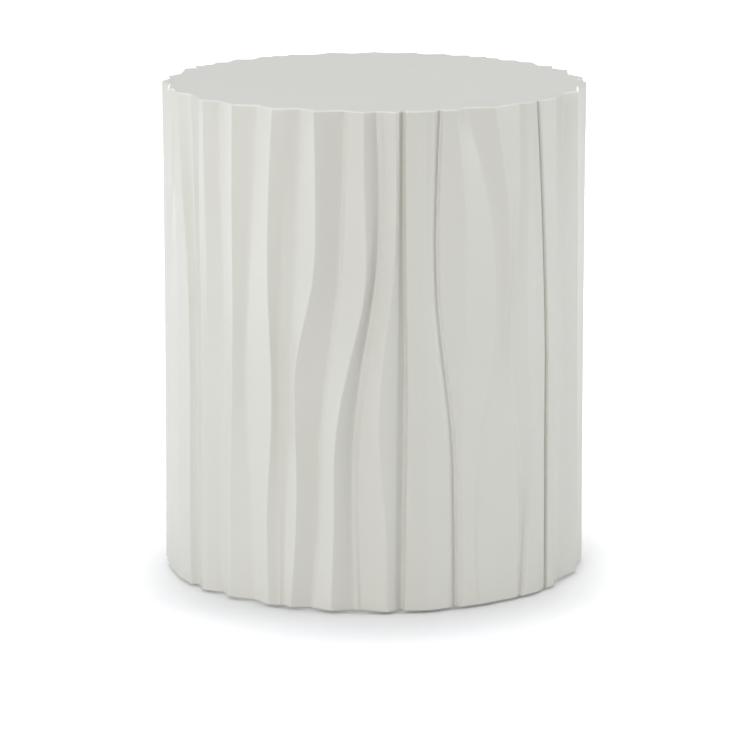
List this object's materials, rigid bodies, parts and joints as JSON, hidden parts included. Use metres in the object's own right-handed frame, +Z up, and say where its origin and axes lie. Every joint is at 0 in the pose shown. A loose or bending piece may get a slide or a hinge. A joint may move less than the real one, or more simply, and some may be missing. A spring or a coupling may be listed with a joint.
{
  "type": "outdoor side table",
  "caption": "Round outdoor side table: a hollow drum with a flat top, its wall carved in long wavy hanging folds, standing on screw-adjustable glides recessed in an open foot.",
  "frame": {"origin": "centre of the floor under the table, at the bottom of the glide pads", "axes": "+Z up along the drum's axis, -Y towards the front that the picture shows, +X to the viewer's right"},
  "size_m": [0.4483, 0.4497, 0.522],
  "materials": {
    "lacquered_wall": "satin",
    "lacquered_top": "satin",
    "sealed_plywood": "satin",
    "hardwood": "matte",
    "black_nylon": "matte",
    "stainless_screws": "satin",
    "zinc_plated_steel": "satin"
  },
  "bodies": {
    "root": {"drum_wall": "lacquered_wall", "top_panel": "lacquered_top", "base_ring": "sealed_plywood", "ring_screws": "stainless_screws", "fixing_block_front": "hardwood", "fixing_block_right": "hardwood", "fixing_block_rear": "hardwood", "fixing_block_left": "hardwood", "captive_nut_front_right": "zinc_plated_steel", "captive_nut_rear_right": "zinc_plated_steel", "captive_nut_rear_left": "zinc_plated_steel", "captive_nut_front_left": "zinc_plated_steel"},
    "pad_front_right": {"glide_pad_front_right": "black_nylon"},
    "stud_front_right": {"glide_stud_front_right": "zinc_plated_steel"},
    "pad_rear_right": {"glide_pad_rear_right": "black_nylon"},
    "stud_rear_right": {"glide_stud_rear_right": "zinc_plated_steel"},
    "pad_rear_left": {"glide_pad_rear_left": "black_nylon"},
    "stud_rear_left": {"glide_stud_rear_left": "zinc_plated_steel"},
    "pad_front_left": {"glide_pad_front_left": "black_nylon"},
    "stud_front_left": {"glide_stud_front_left": "zinc_plated_steel"}
  },
  "joints": [
    {"name": "glide_drop_front_right", "type": "slide", "parent": "root", "child": "pad_front_right", "axis": [0, 0, -1], "range_m": [0, 0.01]},
    {"name": "stud_turn_front_right", "type": "hinge", "parent": "pad_front_right", "child": "stud_front_right", "pos_m": [0.12445, -0.12445, 0.0113], "axis": [0, 0, 1], "range_deg": [0, 2880]},
    {"name": "glide_drop_rear_right", "type": "slide", "parent": "root", "child": "pad_rear_right", "axis": [0, 0, -1], "range_m": [0, 0.01]},
    {"name": "stud_turn_rear_right", "type": "hinge", "parent": "pad_rear_right", "child": "stud_rear_right", "pos_m": [0.12445, 0.12445, 0.0113], "axis": [0, 0, 1], "range_deg": [0, 2880]},
    {"name": "glide_drop_rear_left", "type": "slide", "parent": "root", "child": "pad_rear_left", "axis": [0, 0, -1], "range_m": [0, 0.01]},
    {"name": "stud_turn_rear_left", "type": "hinge", "parent": "pad_rear_left", "child": "stud_rear_left", "pos_m": [-0.12445, 0.12445, 0.0113], "axis": [0, 0, 1], "range_deg": [0, 2880]},
    {"name": "glide_drop_front_left", "type": "slide", "parent": "root", "child": "pad_front_left", "axis": [0, 0, -1], "range_m": [0, 0.01]},
    {"name": "stud_turn_front_left", "type": "hinge", "parent": "pad_front_left", "child": "stud_front_left", "pos_m": [-0.12445, -0.12445, 0.0113], "axis": [0, 0, 1], "range_deg": [0, 2880]}
  ],
  "couplings": [
    {"joint": "stud_turn_front_right", "follows": "glide_drop_front_right", "rad_per_m": 5026.5},
    {"joint": "stud_turn_rear_right", "follows": "glide_drop_rear_right", "rad_per_m": 5026.5},
    {"joint": "stud_turn_rear_left", "follows": "glide_drop_rear_left", "rad_per_m": 5026.5},
    {"joint": "stud_turn_front_left", "follows": "glide_drop_front_left", "rad_per_m": 5026.5}
  ]
}
